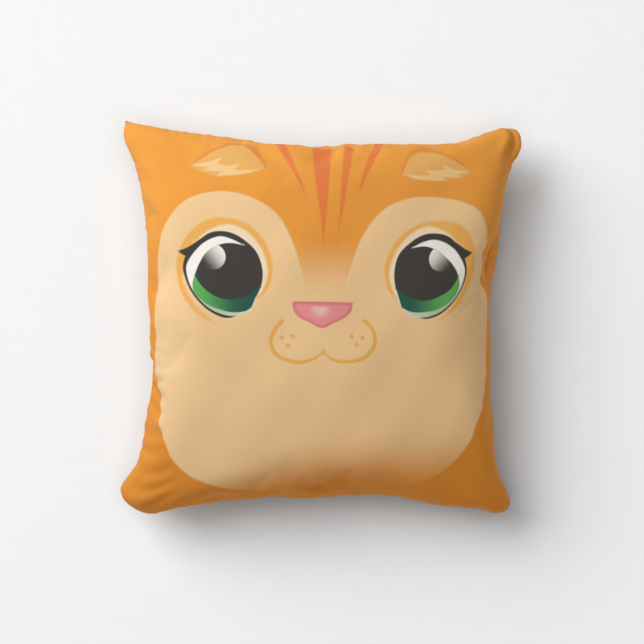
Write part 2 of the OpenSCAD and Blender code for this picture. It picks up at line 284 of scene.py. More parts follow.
def dressed(panel, side, folds, floor=0.05):
    """The filled panel with the cloth's smaller shapes: seam gathers, folds, ripples and
    bumps, each a height along the normal that is nought at the rim. The two panels are
    eased apart near the rim, to make room for the seam allowances. The back is flattened
    softly where it meets the floor."""
    n = panel.shape[0]
    t = np.linspace(-1, 1, n)
    flat_u, flat_v = np.meshgrid(t * FLAT / 2, t * FLAT / 2, indexing="ij")
    inside = rim_distance(n)
    height = 2.4 * (1 - np.exp(-inside / 1.6)) + bumps(flat_u, flat_v + 40 * side) * smooth(
        inside, 5, 60)
    for start, end, width, depth in folds:
        height += fold(flat_u, flat_v, start, end, width, depth) * smooth(inside, 0, 9)
    gather = np.exp(-inside / 9) * smooth(inside, 0, 2.5)
    round_rim = np.where(np.abs(flat_u) > np.abs(flat_v), flat_v, flat_u)
    height += 0.3 * gather * np.sin(0.5 * round_rim + 1.6 * np.sin(0.09 * round_rim))
    left_edge = np.exp(-((flat_u + 196) / 22) ** 2) * np.exp(-((flat_v + 62) / 42) ** 2)
    height += 1.3 * left_edge * np.sin(0.42 * flat_v + 0.05 * flat_u) * smooth(inside, 0, 6)
    made = panel + normals(panel) * side_sign(panel, side) * height[..., None]
    if side < 0:
        made[..., 2] = SEAM_Z + (made[..., 2] - SEAM_Z) * 0.95
        soft = 3.0
        low = np.clip((made[..., 2] - floor) / soft, -4, 40)
        made[..., 2] = floor + soft * np.log1p(np.exp(low))
        made[..., 2] -= soft * np.log1p(np.exp(-np.clip(low, 0, 40))) * (low > 0)
    return made


def with_mouth(panel, side):
    """The panel with its bottom rim made level along the zip, and parted from the other
    panel by LIP on its own side. The change fades as a bell inside the rim, and ends a
    little beyond each closed end of the zip."""
    rim = panel[:, 0]
    ramp = np.clip((ZIP_HALF + LIP_RAMP - np.abs(rim[:, 0])) / LIP_RAMP, 0, 1)
    zone = 1 - smooth(np.abs(rim[:, 0]), ZIP_HALF + 4, ZIP_HALF + 34)
    change = zone * (SEAM_Z + side * LIP * ramp - rim[:, 2])
    below = (1 + np.linspace(-1, 1, panel.shape[0])) * FLAT / 2
    made = panel.copy()
    made[..., 2] += change[:, None] * np.exp(-(below[None] / 15) ** 2)
    return made


def side_sign(panel, side):
    """1 or -1, so that the panel's normals point out of the cushion."""
    middle = panel.shape[0] // 2
    return side * np.sign(normals(panel)[middle, middle, 2])


def rim_inward(rim, width, width_bottom):
    """A closed rim of points moved towards the middle of the cushion, further where it
    runs along the bottom seam. Each point moves along its line to the centre."""
    reach = np.linalg.norm(rim[:, :2], axis=1, keepdims=True)
    moved = rim.copy()
    bottom = smooth(-rim[:, 1:2], 150, 176) * (1 - smooth(np.abs(rim[:, :1]), 150, 170))
    moved[:, :2] -= rim[:, :2] / reach * (width + (width_bottom - width) * bottom)
    return moved


def cloth_shell(name, outer, side, thick, width, width_bottom, body, layers, step=2):
    """One panel of cloth as a closed shell: the outer face on a fine grid, the turned-in
    allowance as a flat band inside the rim, and the inner face on a coarser grid."""
    n = outer.shape[0]
    coarse = outer[::step, ::step]
    m = coarse.shape[0]
    under = coarse - normals(coarse) * side_sign(coarse, side) * thick
    rim = outer.reshape(-1, 3)[rim_of(np.arange(n * n).reshape(n, n))]
    rough_rim = rim[::step]
    band = rim_inward(rough_rim, width, width_bottom)
    count = len(rough_rim)
    low, high = band.copy(), band.copy()
    low[:, 2] += side * 0.05
    high[:, 2] += side * (thick + 0.05)
    inner_rim = rim_inward(rough_rim, 1.4, 1.4)
    inner_rim[:, 2] += side * (thick + 0.05)
    grid = n * n
    inner_ids = grid + np.arange(m * m).reshape(m, m)
    under = under.reshape(-1, 3)
    under[rim_of(np.arange(m * m).reshape(m, m))] = inner_rim
    points = np.vstack([outer.reshape(-1, 3), under, low, high])
    ids = np.arange(grid).reshape(n, n)
    outer_rim, inner_ring = rim_of(ids), rim_of(inner_ids)
    low_ring = grid + m * m + np.arange(count)
    high_ring = low_ring + count
    nxt = np.roll(low_ring, -1)
    after = np.roll(outer_rim, -1)
    fans = [np.stack([after[k::step], outer_rim[k::step],
                      low_ring if k < step - 1 else nxt], -1) for k in range(step)]
    fans.append(np.stack([low_ring, nxt, outer_rim[step - 1::step]], -1))
    quads = [grid_quads(ids), grid_quads(inner_ids)[:, ::-1],
             strip_quads(low_ring, high_ring)[:, ::-1],
             strip_quads(high_ring, inner_ring)[:, ::-1]]
    faces = [f[:, ::-1] if side < 0 else f for f in fans + quads]
    faces = [row for f in faces for row in f.tolist()]
    flat = np.linspace(-FLAT / 2, FLAT / 2, n)
    coarse_uv = np.stack(np.meshgrid(flat[::step], flat[::step], indexing="ij"), -1)
    uv = np.stack(np.meshgrid(flat, flat, indexing="ij"), -1).reshape(-1, 2)
    coarse_uv = coarse_uv.reshape(-1, 2)
    rim_uv = coarse_uv[rim_of(np.arange(m * m).reshape(m, m))]
    uv = np.vstack([uv, coarse_uv, rim_uv, rim_uv]) * MM
    kept = {"wrong_side": np.concatenate([np.zeros(grid), np.ones(m * m + 2 * count)])}
    for key, values in layers.items():
        rest = values[::step, ::step].ravel()
        edge = rest[rim_of(np.arange(m * m).reshape(m, m))]
        kept[key] = np.concatenate([values.ravel(), rest, edge, edge])
    return mesh_object(name, points, faces, body, uv, kept)


def thread_tubes(starts, ends, radius, rise):
    """Points and faces of many short stitches at once. Each is a hexagonal tube from a
    start to an end, arched by a rise at its middle, with its ends pinched nearly shut."""
    rings, sides = 5, 6
    t = np.linspace(0, 1, rings)
    along = ends - starts
    tangent = along / np.linalg.norm(along, axis=1, keepdims=True)
    across = np.cross(tangent, [0, 0, 1.0])
    across /= np.maximum(np.linalg.norm(across, axis=1, keepdims=True), 1e-6)
    up = np.cross(across, tangent)
    middle = starts[:, None] + along[:, None] * t[None, :, None]
    middle = middle + up[:, None] * (rise * np.sin(np.pi * t))[None, :, None]
    size = radius * np.array([0.35, 0.95, 1, 0.95, 0.35])
    angle = 2 * np.pi * np.arange(sides) / sides
    ring = (np.cos(angle)[:, None] * across[:, None, None] + np.sin(angle)[:, None]
            * up[:, None, None])
    points = middle[:, :, None] + ring * size[None, :, None, None]
    ids = np.arange(rings * sides).reshape(rings, sides)
    walls = np.stack([ids[:-1], ids[1:], np.roll(ids, -1, 1)[1:], np.roll(ids, -1, 1)[:-1]],
                     -1).reshape(-1, 4)
    first = (np.arange(len(starts)) * rings * sides)[:, None, None]
    faces = (walls[None] + first).reshape(-1, 4).tolist()
    for cap in (ids[0], ids[-1, ::-1]):
        faces += (cap[None] + first[:, 0]).tolist()
    return points.reshape(-1, 3), faces


def along_path(path, pitch, closed=False):
    """Points at an even pitch along a path."""
    if closed:
        path = np.vstack([path, path[:1]])
    run = np.concatenate([[0], np.cumsum(np.linalg.norm(np.diff(path, axis=0), axis=1))])
    at = np.linspace(0, run[-1], max(2, int(run[-1] / pitch)))
    return np.stack([np.interp(at, run, column) for column in path.T], -1)


def stitch_row(name, path, pitch, lift, radius, body, closed=False):
    """Stitches end to end along a path, on both faces of what they sew: a dash of
    three quarters of the pitch on top, and the same half a pitch on beneath."""
    marks = along_path(path, pitch, closed)
    a, b = marks[:-1], marks[1:]
    step = b - a
    top = thread_tubes(a + 0.1 * step + [0, 0, lift], a + 0.9 * step + [0, 0, lift], radius, 0.15)
    low = thread_tubes(a + 0.6 * step - [0, 0, lift], a + 1.3 * step - [0, 0, lift], radius, 0.15)
    points = np.vstack([top[0], low[0]])
    faces = top[1] + [[k + len(top[0]) for k in f] for f in low[1]]
    return mesh_object(name, points, faces, body)


def band_along(name, path, inward, width, half, body):
    """A flat band with rounded edges beside a path: an oblong of eight points carried
    along the path and closed at both ends."""
    outline = np.array([(0.0, -0.6), (0.0, 0.6), (0.15, 1.0), (0.85, 1.0), (1.0, 0.6),
                        (1.0, -0.6), (0.85, -1.0), (0.15, -1.0)])
    points = (path[:, None] + inward[:, None] * (outline[:, 0] * width)[None, :, None]
              + np.array([0, 0, 1.0]) * (outline[:, 1] * half)[None, :, None])
    n = len(path)
    ids = np.arange(n * 8).reshape(n, 8)
    ring = np.roll(ids, -1, 1)
    faces = np.stack([ids[:-1], ring[:-1], ring[1:], ids[1:]], -1).reshape(-1, 4).tolist()
    faces += [ids[0, ::-1].tolist(), ids[-1].tolist()]
    return mesh_object(name, points.reshape(-1, 3), faces, body)


def inner_shape(panel, plan, plan_below, height):
    """A filled panel drawn in towards the middle of the seam plane by three shares: one
    for its plan, one for the part of its plan below the middle, and one for its height."""
    made = panel.copy()
    made[..., 0] *= plan
    made[..., 1] *= plan + (plan_below - plan) * smooth(-panel[..., 1], 0, 170)
    made[..., 2] = SEAM_Z + (made[..., 2] - SEAM_Z) * height
    return made


def closed_pad(name, upper, lower, body, half_rim=0.6):
    """One closed surface from an upper and a lower panel, with a narrow wall between."""
    n = upper.shape[0]
    upper, lower = upper.copy(), lower.copy()
    upper[..., 2] += half_rim
    lower[..., 2] -= half_rim
    ids = np.arange(n * n).reshape(n, n)
    top, low = rim_of(ids), rim_of(ids + n * n)
    faces = np.vstack([grid_quads(ids), grid_quads(ids + n * n)[:, ::-1],
                       strip_quads(low, top)])
    points = np.vstack([upper.reshape(-1, 3), lower.reshape(-1, 3)])
    flat = np.linspace(-FLAT / 2, FLAT / 2, n) * MM
    uv = np.stack(np.meshgrid(flat, flat, indexing="ij"), -1).reshape(-1, 2)
    return mesh_object(name, points, faces.tolist(), body, np.vstack([uv, uv]))


# ---- the printed face --------------------------------------------------------------
# Every shape is a smooth outline through points in mm on the flat panel, from its
# middle. A point given twice is a sharp corner.

def curve(points, closed=True, per=10):
    """A smooth outline: a Catmull-Rom curve, whose slope at each point is half the way
    from the point before to the point after. A point with a third number is a sharp
    corner, and counts twice."""
    p = np.array([spot[:2] for spot in points for _ in spot[1:]], float)
    if closed:
        p = np.vstack([p[-1:], p, p[:2]])
    else:
        p = np.vstack([p[:1], p, p[-1:]])
    t = np.arange(per)[:, None, None] / per
    a, b, c, d = p[None, :-3], p[None, 1:-2], p[None, 2:-1], p[None, 3:]
    made = 0.5 * (2 * b + (c - a) * t + (2 * a - 5 * b + 4 * c - d) * t**2
                  + (3 * b - a - 3 * c + d) * t**3)
    made = np.swapaxes(made, 0, 1).reshape(-1, 2)
    if not closed:
        made = np.vstack([made, p[-1:]])
    apart = np.linalg.norm(made - np.roll(made, 1, 0), axis=1) > 1e-6
    return made[apart]


def depth_inside(outlines, u, v):
    """How deep each point lies inside the nearest of some outlines, in mm, and negative
    outside them: the distance to the nearest side, signed by counting crossings."""
    deepest = np.full(u.shape, -15.0)
    for line in outlines:
        a, b = line, np.roll(line, -1, 0)
        near = np.full(u.shape, 15.0**2)
        within = np.zeros(u.shape, bool)
        for (x0, y0), (x1, y1) in zip(a, b):
            dx, dy = x1 - x0, y1 - y0
            t = np.clip(((u - x0) * dx + (v - y0) * dy) / (dx * dx + dy * dy), 0, 1)
            near = np.minimum(near, (u - x0 - t * dx) ** 2 + (v - y0 - t * dy) ** 2)
            if y0 != y1:
                within ^= ((y0 > v) != (y1 > v)) & (u < (v - y0) * dx / dy + x0)
        deepest = np.maximum(deepest, np.where(within, 1, -1) * np.sqrt(near))
    return deepest


def stroke(points, widths):
    """The outline of a drawn line: a smooth centre line moved half its width to the left,
    and back along the right. The widths are spaced evenly along it."""
    line = curve(points, closed=False)
    along = np.gradient(line, axis=0)
    along /= np.linalg.norm(along, axis=1, keepdims=True)
    half = np.interp(np.linspace(0, 1, len(line)), np.linspace(0, 1, len(widths)), widths) / 2
    aside = np.column_stack([-along[:, 1], along[:, 0]]) * half[:, None]
    return np.vstack([line + aside, (line - aside)[::-1]])


CREAM = [(-176, 10), (-173, 47), (-165, 75), (-151, 101), (-132, 117), (-100, 125), (-71, 120),
         (-46, 104), (-31, 78), (-21, 49), (-12, 15), (2, -20), (17, 15), (27, 49), (40, 84),
         (58, 107), (80, 118), (104, 121), (134, 117), (156, 105), (168, 82), (176, 45),
         (176, -8), (174, -57), (168, -81), (157, -101), (151, -118), (139, -134), (128, -145),
         (110, -155), (60, -172), (0, -178), (-60, -170), (-116, -154), (-135, -144),
         (-148, -132), (-156, -118), (-164, -102), (-175, -85), (-180, -60), (-180, -25)]
GOLD = [[(-61, 20, 0), (-52, 33), (-49, 53), (-56, 74), (-70, 90), (-87, 97), (-105, 98),
         (-120, 93), (-132, 83), (-141, 70), (-146, 54), (-145, 38), (-139, 22), (-123, 3),
         (-103, -6, 0), (-121, 8), (-134, 24), (-140, 40), (-130, 50, 0), (-95, 30)],
        [(74, 22, 0), (66, 34), (63, 53), (69, 72), (80, 86), (97, 96), (116, 99), (131, 97),
         (141, 91), (149, 82), (153, 70), (153, 55), (148, 40), (137, 17), (114, -2, 0),
         (134, 21), (143, 40), (135, 50, 0), (105, 30)]]
HALO = [[(-62, 22, 0), (-56, 34), (-54, 48), (-60, 68), (-72, 83), (-85, 90), (-96, 91),
         (-113, 85), (-127, 73, 0), (-100, 60)],
        [(75, 24, 0), (70, 36), (68, 50), (74, 70), (86, 85), (98, 92), (108, 93), (124, 87),
         (138, 75, 0), (108, 60)]]
EYE = [[(-145, 64, 0), (-134, 68), (-122, 76), (-113, 82), (-103, 84.5), (-91, 83.5),
        (-79, 78), (-65, 65), (-59, 47), (-61, 30), (-71, 15), (-91, 1), (-112, 7), (-130, 25),
        (-139, 46), (-137, 59, 0)],
       [(151, 69, 0), (142, 73), (133, 79), (124, 84.5), (114, 87), (101, 86), (89, 79.5),
        (77, 67), (73, 50), (75, 33), (84, 17), (101, 4), (120, 9), (137, 28), (145, 50),
        (143, 64, 0)]]
WHITE = [[(-77, 71, 0), (-90, 77), (-103, 79), (-120, 71), (-134, 54), (-135, 42), (-128, 26),
          (-112, 10), (-91, 3), (-71, 8, 0), (-66, 20), (-72, 45)],
         [(89, 73, 0), (100, 79), (113, 81), (130, 74), (142, 58), (142, 44), (134, 26),
          (119, 11), (102, 5), (88, 7), (81, 13, 0), (76, 28), (82, 45)]]
IRIS = [[(-127, 41, 0), (-129, 32), (-126, 23), (-115, 14), (-103, 9), (-90, 6), (-77, 7),
         (-70, 11, 0), (-62, 30, 0), (-85, 40)],
        [(137, 48, 0), (138, 37), (132, 25), (118, 14), (102, 10), (90, 10), (81, 14, 0),
         (75, 33, 0), (95, 42)]]
PUPIL = [[(-77, 71, 0), (-90, 73), (-102, 71), (-114, 64), (-122, 53), (-127, 41, 0),
          (-119, 30), (-106, 21), (-91, 18), (-76, 21), (-62, 31, 0), (-60, 47), (-66, 62)],
         [(89, 73, 0), (102, 75), (115, 71), (127, 62), (134, 54), (137, 47, 0), (129, 34),
          (117, 26), (105, 22), (90, 24), (75, 33, 0), (74, 50), (79, 63)]]
EAR = [[(-132, 151, 0), (-113, 165), (-96, 177), (-82, 186), (-70, 184), (-60, 172),
        (-54, 149, 0), (-75, 143), (-104, 140, 0), (-118, 145)],
       [(75, 142, 0), (78, 158), (84, 172), (95, 177), (112, 170), (130, 160), (147, 146, 0),
        (133, 140), (122, 138, 0), (98, 139)]]
EAR_INNER = [[(-131, 151, 0), (-115, 160), (-100, 170), (-86, 178), (-74, 178), (-64, 167),
              (-56, 149, 0), (-75, 143), (-104, 140, 0), (-118, 145)],
             [(77, 142, 0), (81, 157), (89, 168), (101, 170), (118, 164), (132, 156),
              (146, 146, 0), (133, 140), (122, 138, 0), (98, 139)]]
TUFT = [[(-132, 152, 0), (-112, 155), (-95, 160, 0), (-102, 153, 0), (-90, 151), (-78, 154, 0),
         (-86, 147, 0), (-70, 147), (-56, 149, 0), (-75, 143), (-104, 140, 0), (-97, 145, 0),
         (-120, 146, 0), (-110, 149, 0)],
        [(147, 146, 0), (128, 150), (112, 157, 0), (118, 150, 0), (108, 148), (97, 149, 0),
         (104, 143, 0), (92, 142), (77, 144, 0), (92, 138), (122, 137, 0), (114, 142, 0),
         (137, 141, 0), (128, 145, 0)]]
STRIPE = [[(-46, 188, 0), (-38, 190, 0), (-26, 150), (-14, 112, 0), (-30, 148)],
          [(-13, 186, 0), (5, 187, 0), (5, 140), (0, 76, 0), (-9, 140)],
          [(19, 186, 0), (28, 186, 0), (24, 140), (14, 80, 0), (17, 140)],
          [(50, 190, 0), (58, 188, 0), (47, 152), (34, 122, 0), (40, 154)]]
NOSE = [[(-30, 17, 0), (31, 17, 0), (30, 9), (24, 2), (12, -4), (0, -9), (-12, -4), (-24, 2),
         (-29, 9)]]
STEM = [[(-1.4, -35, 0), (1, -26, 0), (3, -35, 0)]]
MOUTH = [[(-39, -1), (-48, -11), (-52, -22), (-48, -33), (-38, -39), (-24, -42), (-10, -39),
          (0, -33)],
         [(2, -33), (11, -40), (26, -42), (40, -39), (50, -31), (54, -21), (51, -9), (42, 0)]]
MOUTH_WIDTHS = [[4.2, 4, 4, 4, 3.8, 3.4, 1.6], [1.6, 3.4, 3.8, 4, 4, 4, 4.2]]
FRECKLES = [(-41, -18), (-30, -17), (-35, -26), (30, -17), (41, -18), (35, -25)]
GLINTS = [(-108, 59, 12.5), (119, 64, 12.5)]


def print_layers(n):
    """The print's shapes as numbers for each point of the front panel."""
    t = np.linspace(-FLAT / 2, FLAT / 2, n)
    u, v = np.meshgrid(t, t, indexing="ij")
    made = {key: depth_inside([curve(line) for line in lines], u, v)
            for key, lines in (("cream", [CREAM]), ("gold", GOLD), ("halo", HALO),
                               ("eye", EYE), ("white", WHITE), ("iris", IRIS),
                               ("pupil", PUPIL), ("ear", EAR),
                               ("ear_inner", EAR_INNER), ("tuft", TUFT),
                               ("stripe", STRIPE), ("nose", NOSE), ("stem", STEM))}
    made["mouth"] = depth_inside([stroke(*pair) for pair in zip(MOUTH, MOUTH_WIDTHS)], u, v)
    rightward = smooth(u, -130, 20)
    made["cream_low"] = smooth(v, -192 + 18 * rightward, -144 + 38 * rightward)
    made["blaze"] = (1 - smooth(v, 18, 84)) * (1 - smooth(np.abs(u), 26, 60)) * smooth(v, -80, -20)
    return made


# ---- materials ------------------------------------------------------------------------

def tone(red, green, blue):
    """A linear colour from one given as it looks on a screen, 0 to 255 each."""
    c = np.array([red, green, blue]) / 255
    return (*np.where(c <= 0.04045, c / 12.92, ((c + 0.055) / 1.055) ** 2.4).tolist(), 1)


def new_material(name, rough, sheen=0.0, metal=0.0):
    made = bpy.data.materials.new(name)
    made.use_nodes = True
    shader = made.node_tree.nodes["Principled BSDF"]
    shader.inputs["Roughness"].default_value = rough
    shader.inputs["Sheen Weight"].default_value = sheen
    shader.inputs["Sheen Roughness"].default_value = 0.5
    shader.inputs["Metallic"].default_value = metal
    if not metal:
        shader.inputs["Specular IOR Level"].default_value = 0.25
    return made, made.node_tree, shader


def put(tree, kind, sockets=(), out=0, **settings):
    """A node with its settings, and its sockets filled or linked. Gives one output."""
    made = tree.nodes.new("ShaderNode" + kind)
    for key, value in settings.items():
        setattr(made, key, value)
    for key, value in dict(sockets).items():
        if isinstance(value, bpy.types.NodeSocket):
            tree.links.new(value, made.inputs[key])
        else:
            made.inputs[key].default_value = value
    return made.outputs[out]


def maths(tree, operation, a, b=0.0):
    return put(tree, "Math", {0: a, 1: b}, operation=operation)


def ramp_between(tree, value, low, high, start=0.0, end=1.0):
    return put(tree, "MapRange", {"Value": value, "From Min": low, "From Max": high,
                                  "To Min": start, "To Max": end},
               interpolation_type="SMOOTHSTEP")


def over(tree, share, lower, upper, way="MIX"):
    """The upper colour laid over the lower by a share from 0 to 1."""
    return put(tree, "Mix", {0: share, 6: lower, 7: upper}, out=2, data_type="RGBA",
               blend_type=way)


def layer(tree, name):
    return put(tree, "Attribute", attribute_name=name, out=2)


def lines_across(tree, place, turn, per_metre, sharp=0.5):
    """Parallel threads: a smooth wave across one axis of the place, turned in its plane."""
    turned = put(tree, "Mapping", {"Vector": place, "Rotation": (0, 0, turn),
                                   "Scale": (per_metre, per_metre, per_metre)})
    return put(tree, "TexWave", {"Vector": turned, "Scale": 0.314, "Distortion": 0.6,
                                 "Detail": 1.0, "Detail Scale": sharp}, out=1,
               wave_type="BANDS", bands_direction="X", wave_profile="SIN")


def woven_height(tree, place, pitch_mm):
    """Plain weave: warp and weft waves, each on top by turns in a checkered pattern."""
    per_metre = 1000 / pitch_mm
    warp = lines_across(tree, place, 0.0, per_metre)
    weft = lines_across(tree, place, math.pi / 2, per_metre)
    checks = put(tree, "TexChecker", {"Vector": place, "Scale": per_metre}, out=1)
    return put(tree, "Mix", {0: checks, 2: warp, 3: weft}, out=0, data_type="FLOAT")


def bumped(tree, shader, height, strength, depth_mm):
    bump = put(tree, "Bump", {"Height": height, "Strength": strength,
                              "Distance": depth_mm * MM})
    tree.links.new(bump, shader.inputs["Normal"])


def cloth_place(tree):
    return put(tree, "UVMap", uv_map="panel")


def finish_cloth(tree, shader, colour, place, pitch_mm=0.55, strength=0.35):
    """Weave, faint slubs and slow fading over a colour, and a rough fabric surface."""
    slubs = put(tree, "TexNoise", {"Vector": put(tree, "Mapping", {
        "Vector": place, "Scale": (2600, 160, 400)}), "Scale": 1.0, "Detail": 2.0}, out=0)
    faded = put(tree, "TexNoise", {"Vector": place, "Scale": 14.0, "Detail": 3.0}, out=0)
    shade = maths(tree, "MULTIPLY", ramp_between(tree, slubs, 0.3, 0.7, 0.965, 1.02),
                  ramp_between(tree, faded, 0.3, 0.7, 0.97, 1.015))
    tinted = put(tree, "VectorMath", {0: colour, 3: shade}, operation="SCALE")
    tree.links.new(tinted, shader.inputs["Base Color"])
    tree.links.new(ramp_between(tree, slubs, 0.25, 0.75, 0.78, 0.92),
                   shader.inputs["Roughness"])
    weave = woven_height(tree, place, pitch_mm)
    height = maths(tree, "ADD", weave, maths(tree, "MULTIPLY", slubs, 0.6))
    bumped(tree, shader, height, strength, 0.12)


ORANGE = tone(238, 162, 71)
# ORANGE_DEEP is painted shade at the bottom of the printed face, and random darker blotches on the
# back
ORANGE_DEEP = tone(227, 146, 53)
CREAM_TONE = tone(243, 207, 160)
WRONG_SIDE = tone(246, 214, 170)


def off_from(tree, place, u, v):
    """How far, in metres, each place of the flat panel is from a spot given in mm."""
    return put(tree, "VectorMath", {0: place, 1: (u * MM, v * MM, 0)}, out=1,
               operation="DISTANCE")


def printed_cloth():
    """The cover's face: the print's layers one over another on an orange ground. A layer
    is a depth inside its outline in mm, and its edge is soft over the width it gives."""
    made, tree, shader = new_material("printed_cloth", 0.85, sheen=0.04)
    place = cloth_place(tree)
    split = tree.nodes.new("ShaderNodeSeparateXYZ")
    tree.links.new(place, split.inputs[0])
    across, upward = split.outputs[0], split.outputs[1]
    far_out = maths(tree, "ABSOLUTE", maths(tree, "SUBTRACT", across, 0.003))

    def inside(name, soft=0.7, grow=0.0):
        return ramp_between(tree, layer(tree, name), -soft - grow, soft - grow)

    # Painted shade: the orange ground turns deeper and darker towards the bottom edge
    colour = over(tree, ramp_between(tree, upward, -0.2, 0.2), ORANGE_DEEP, ORANGE)
    stripes = maths(tree, "MULTIPLY", inside("stripe", 0.9), 0.92)
    cream = maths(tree, "MAXIMUM", inside("cream", 1.2), layer(tree, "blaze"))
    cream = maths(tree, "MULTIPLY", cream, layer(tree, "cream_low"))
    colour = over(tree, cream, colour, CREAM_TONE)
    colour = over(tree, stripes, colour, tone(232, 126, 72))
    colour = over(tree, inside("ear"), colour, tone(228, 148, 74))
    colour = over(tree, inside("ear_inner"), colour, tone(233, 178, 104))
    colour = over(tree, inside("tuft"), colour, tone(243, 203, 147))
    gold = over(tree, ramp_between(tree, upward, -0.01, 0.07), tone(241, 176, 88),
                tone(241, 182, 98))
    gold_in = maths(tree, "MULTIPLY", inside("gold", 1.6),
                    ramp_between(tree, upward, -0.012, 0.03, 0.55, 1.0))
    colour = over(tree, gold_in, colour, gold)
    colour = over(tree, inside("halo", 1.6), colour, tone(243, 226, 200))
    colour = over(tree, inside("eye"), colour, tone(66, 64, 64))
    colour = over(tree, inside("white"), colour, tone(248, 248, 250))
    pale_rim = over(tree, ramp_between(tree, far_out, 0.07, 0.125), tone(214, 222, 214),
                    tone(168, 204, 170))
    colour = over(tree, maths(tree, "MULTIPLY", inside("white"),
                              ramp_between(tree, upward, 0.036, 0.02)), colour, pale_rim)
    green = over(tree, ramp_between(tree, far_out, 0.084, 0.128), tone(44, 96, 84),
                 tone(98, 178, 96))
    green = over(tree, ramp_between(tree, far_out, 0.088, 0.066), green, tone(44, 84, 80))
    colour = over(tree, inside("iris"), colour, green)
    colour = over(tree, inside("pupil"), colour, tone(66, 64, 64))
    for u, v, wide in GLINTS:
        outward = math.copysign(1, u)
        off = off_from(tree, place, u, v)
        disc = ramp_between(tree, off, (wide + 0.5) * MM, (wide - 0.5) * MM)
        lean = put(tree, "VectorMath", {0: place, 1: (-outward * 0.75, 0.66, 0)}, out=1,
                   operation="DOT_PRODUCT")
        middle = (-outward * 0.75 * u + 0.66 * v) * MM
        grey = over(tree, ramp_between(tree, lean, middle - 0.012, middle + 0.012),
                    tone(70, 68, 68), tone(238, 237, 236))
        disc = maths(tree, "MULTIPLY", disc, inside("pupil"))
        colour = over(tree, disc, colour, grey)
    mouth = maths(tree, "MAXIMUM", inside("mouth", 0.5), inside("stem", 0.5))
    colour = over(tree, mouth, colour, tone(236, 180, 100))
    for u, v in FRECKLES:
        off = off_from(tree, place, u, v)
        colour = over(tree, ramp_between(tree, off, 2.7 * MM, 1.8 * MM), colour,
                      tone(236, 180, 100))
    colour = over(tree, inside("nose"), colour, tone(226, 130, 138))
    colour = over(tree, inside("nose", 1.2, -3.0), colour, tone(236, 150, 160))
    shine = off_from(tree, place, -2, 11)
    colour = over(tree, maths(tree, "MULTIPLY", ramp_between(tree, shine, 0.013, 0.003),
                              inside("nose", 1.2, -5)), colour, tone(238, 196, 196))
    colour = over(tree, layer(tree, "wrong_side"), colour, WRONG_SIDE)
    finish_cloth(tree, shader, colour, place)
    return made


def plain_cloth():
    """The back of the cover: the same cloth dyed one orange, paler on its wrong side."""
    made, tree, shader = new_material("plain_cloth", 0.85, sheen=0.04)
    place = cloth_place(tree)
    worn = put(tree, "TexNoise", {"Vector": place, "Scale": 9.0, "Detail": 4.0}, out=0)
    colour = over(tree, worn, ORANGE_DEEP, ORANGE)
    colour = over(tree, layer(tree, "wrong_side"), colour, WRONG_SIDE)
    finish_cloth(tree, shader, colour, place)
    return made


def casing_cloth():
    """The insert's casing: thin white cotton, its white mottled with painted crease shade."""
    made, tree, shader = new_material("insert_casing", 0.8, sheen=0.05)
    place = cloth_place(tree)
    crease_shade = put(tree, "TexNoise", {"Vector": place, "Scale": 40.0, "Detail": 4.0}, out=0)
    # Painted shade: random greyer blotches of the white stand for shade in creases
    colour = over(tree, crease_shade, tone(226, 225, 220), tone(246, 245, 240))
    finish_cloth(tree, shader, colour, place, pitch_mm=0.4, strength=0.3)
    return made


def object_place(tree):
    return put(tree, "TexCoord", out=3)


def thread(name, dark, light):
    """Spun thread: fine slanting plies along the piece, painted darker in their grooves as shade,
    and a soft sheen.
    """
    made, tree, shader = new_material(name, 0.6, sheen=0.2)
    plies = lines_across(tree, object_place(tree), 0.7, 1000 / 0.35)
    # Painted shade: the thread's colour is darker in the grooves between plies and lighter on
    # their crests
    tree.links.new(over(tree, plies, dark, light), shader.inputs["Base Color"])
    bumped(tree, shader, plies, 0.5, 0.08)
    return made


def tape_weave():
    """Zip tape: a fine herringbone that turns every 1.2 mm across the tape."""
    made, tree, shader = new_material("zip_tape", 0.75, sheen=0.1)
    place = object_place(tree)
    one = lines_across(tree, place, 0.6, 1000 / 0.5)
    two = lines_across(tree, place, -0.6, 1000 / 0.5)
    bands = put(tree, "TexWave", {"Vector": place, "Scale": 262.0}, out=1,
                wave_type="BANDS", bands_direction="Z")
    weave = put(tree, "Mix", {0: ramp_between(tree, bands, 0.45, 0.55), 2: one, 3: two},
                out=0, data_type="FLOAT")
    # Painted shade: the tape's orange is darker in the hollows of the weave and lighter on its
    # yarns
    tree.links.new(over(tree, weave, tone(200, 116, 40), tone(232, 150, 66)),
                   shader.inputs["Base Color"])
    bumped(tree, shader, weave, 0.5, 0.12)
    return made


def moulded_teeth():
    """Orange moulded plastic with a faint grain, painted paler on its high points and darker in
    its hollows as shade.
    """
    made, tree, shader = new_material("zip_teeth", 0.38)
    grain = put(tree, "TexNoise", {"Vector": object_place(tree), "Scale": 900.0,
                                   "Detail": 3.0}, out=0)
    # Painted shade: the orange is darker in the hollows of the grain
    tree.links.new(over(tree, ramp_between(tree, grain, 0.35, 0.7), tone(206, 120, 40),
                        tone(234, 152, 70)), shader.inputs["Base Color"])
    tree.links.new(ramp_between(tree, grain, 0.3, 0.7, 0.3, 0.48), shader.inputs["Roughness"])
    bumped(tree, shader, grain, 0.25, 0.05)
    return made


